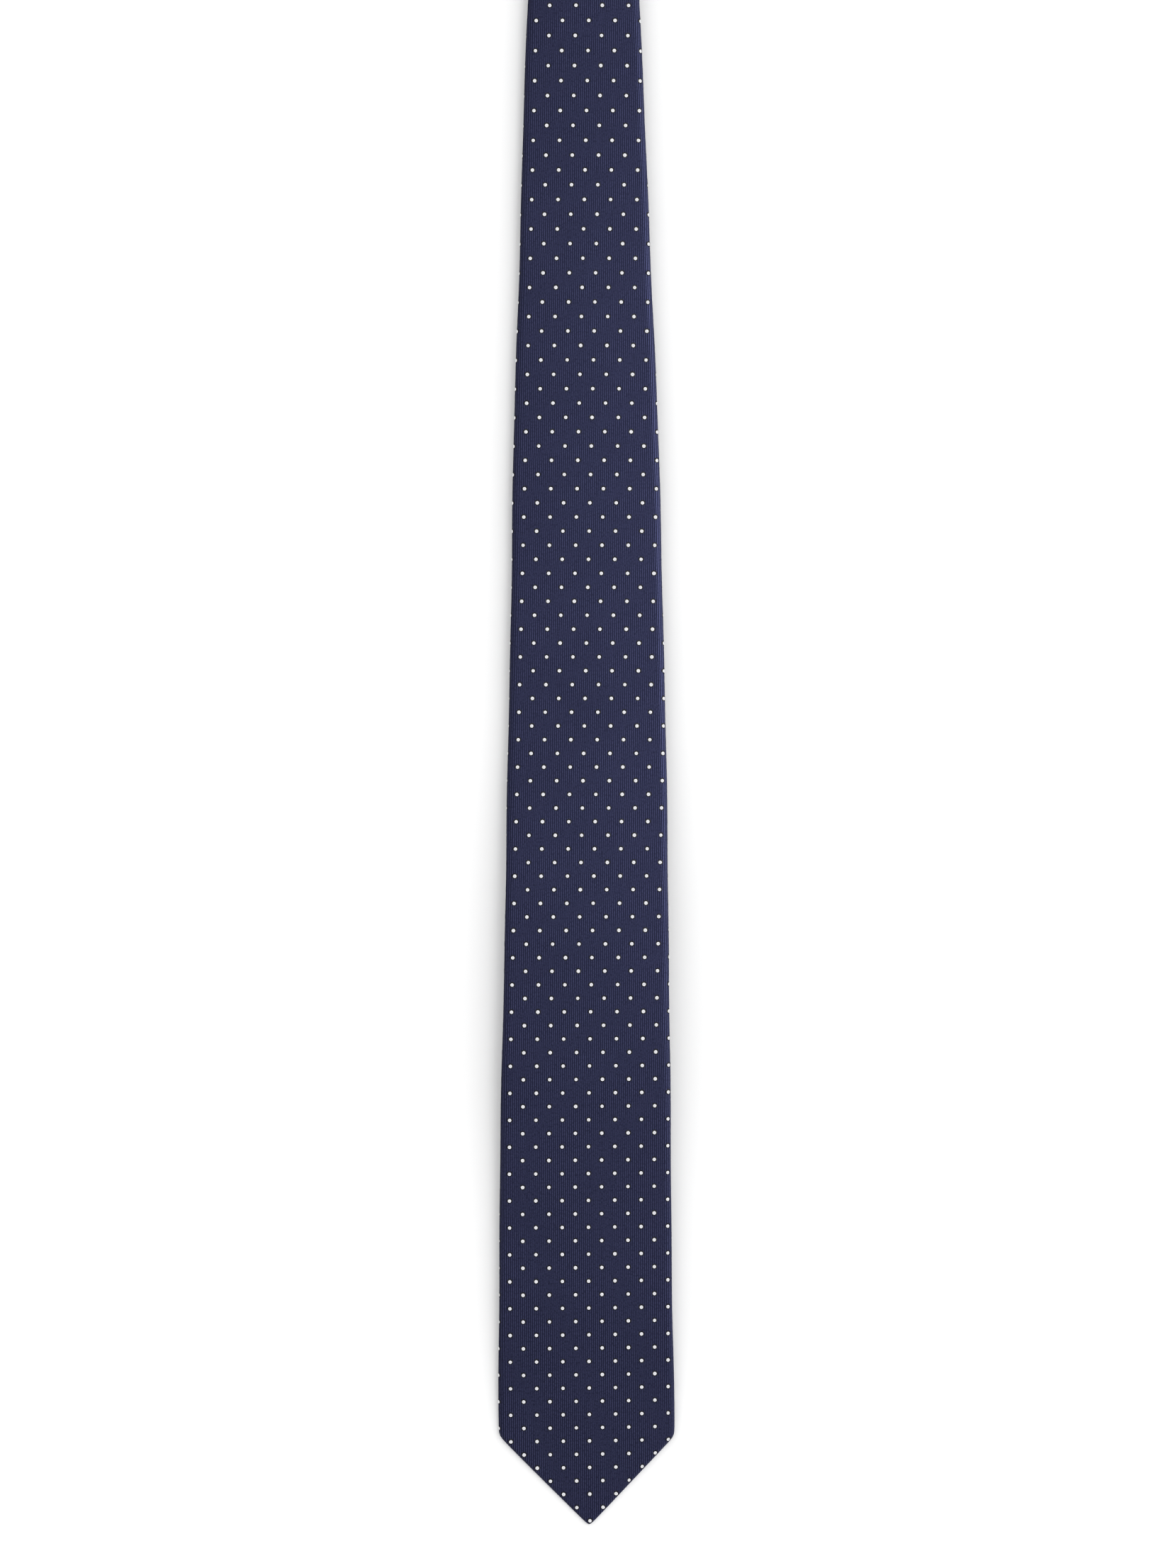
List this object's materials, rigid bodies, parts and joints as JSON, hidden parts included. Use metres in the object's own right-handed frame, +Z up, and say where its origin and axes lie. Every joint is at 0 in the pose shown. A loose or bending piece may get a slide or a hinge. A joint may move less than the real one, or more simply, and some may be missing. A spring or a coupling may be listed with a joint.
{
  "type": "necktie",
  "caption": "Lined silk necktie with small raised pin dots, folded once at the neck and laid face up: pointed wide blade on top, narrow tail under it, keeper loop behind.",
  "frame": {"origin": "middle of the folded tie's footprint, on the surface it lies on", "axes": "+Z up out of the face of the wide blade, +Y along the tie from the wide blade's point to the neck fold, +X across the blade"},
  "size_m": [0.0696, 0.7904, 0.0132],
  "materials": {
    "dotted_silk": "ribbed navy silk with small raised white pin dots",
    "wool_interlining": "brushed undyed wool blend",
    "tipping_lining": "smooth navy satin lining",
    "thread": "navy silk thread",
    "woven_label": "blank woven label with a fine pale border",
    "satin_label": "blank white satin ribbon"
  },
  "bodies": {
    "tail": {"tail_shell": "dotted_silk", "tail_neck_seam": "dotted_silk", "neck_shell_tail_side": "dotted_silk", "tail_interlining": "wool_interlining", "tail_tipping": "tipping_lining", "tail_bar_tack": "thread", "tail_hem_stitches": "thread", "tail_slip_stitch": "thread"},
    "neck_bend": {"neck_bend_shell": "dotted_silk", "neck_bend_interlining": "wool_interlining"},
    "blade_upper": {"neck_shell_blade_side": "dotted_silk", "blade_neck_seam": "dotted_silk", "blade_shell_upper": "dotted_silk", "blade_interlining_upper": "wool_interlining", "blade_slip_stitch_upper": "thread"},
    "blade_lower": {"blade_shell_lower": "dotted_silk", "blade_interlining_lower": "wool_interlining", "blade_tipping": "tipping_lining", "blade_bar_tack": "thread", "blade_hem_stitches": "thread", "blade_slip_stitch_lower": "thread", "keeper_loop": "dotted_silk", "keeper_loop_tacks": "thread", "maker_label": "woven_label", "maker_label_stitches": "thread", "care_label_stitch": "thread"},
    "care_label": {"care_label": "satin_label"}
  },
  "joints": [
    {"name": "neck_roll", "type": "hinge", "parent": "tail", "child": "neck_bend", "pos_m": [0, 0.39327, 0.00193], "axis": [-1, 0, 0], "range_deg": [0, 90]},
    {"name": "neck_fold", "type": "hinge", "parent": "neck_bend", "child": "blade_upper", "pos_m": [0, 0.39327, 0.01127], "axis": [-1, 0, 0], "range_deg": [0, 90]},
    {"name": "blade_turn_up", "type": "hinge", "parent": "blade_upper", "child": "blade_lower", "pos_m": [0, -0.0664, 0.011], "axis": [-1, 0, 0], "range_deg": [0, 170]},
    {"name": "care_label_flap", "type": "hinge", "parent": "blade_lower", "child": "care_label", "pos_m": [0, -0.3164, 0.00393], "axis": [1, 0, 0], "range_deg": [0, 120]}
  ],
  "couplings": [
    {"joint": "neck_roll", "follows": "neck_fold", "ratio": 1}
  ]
}
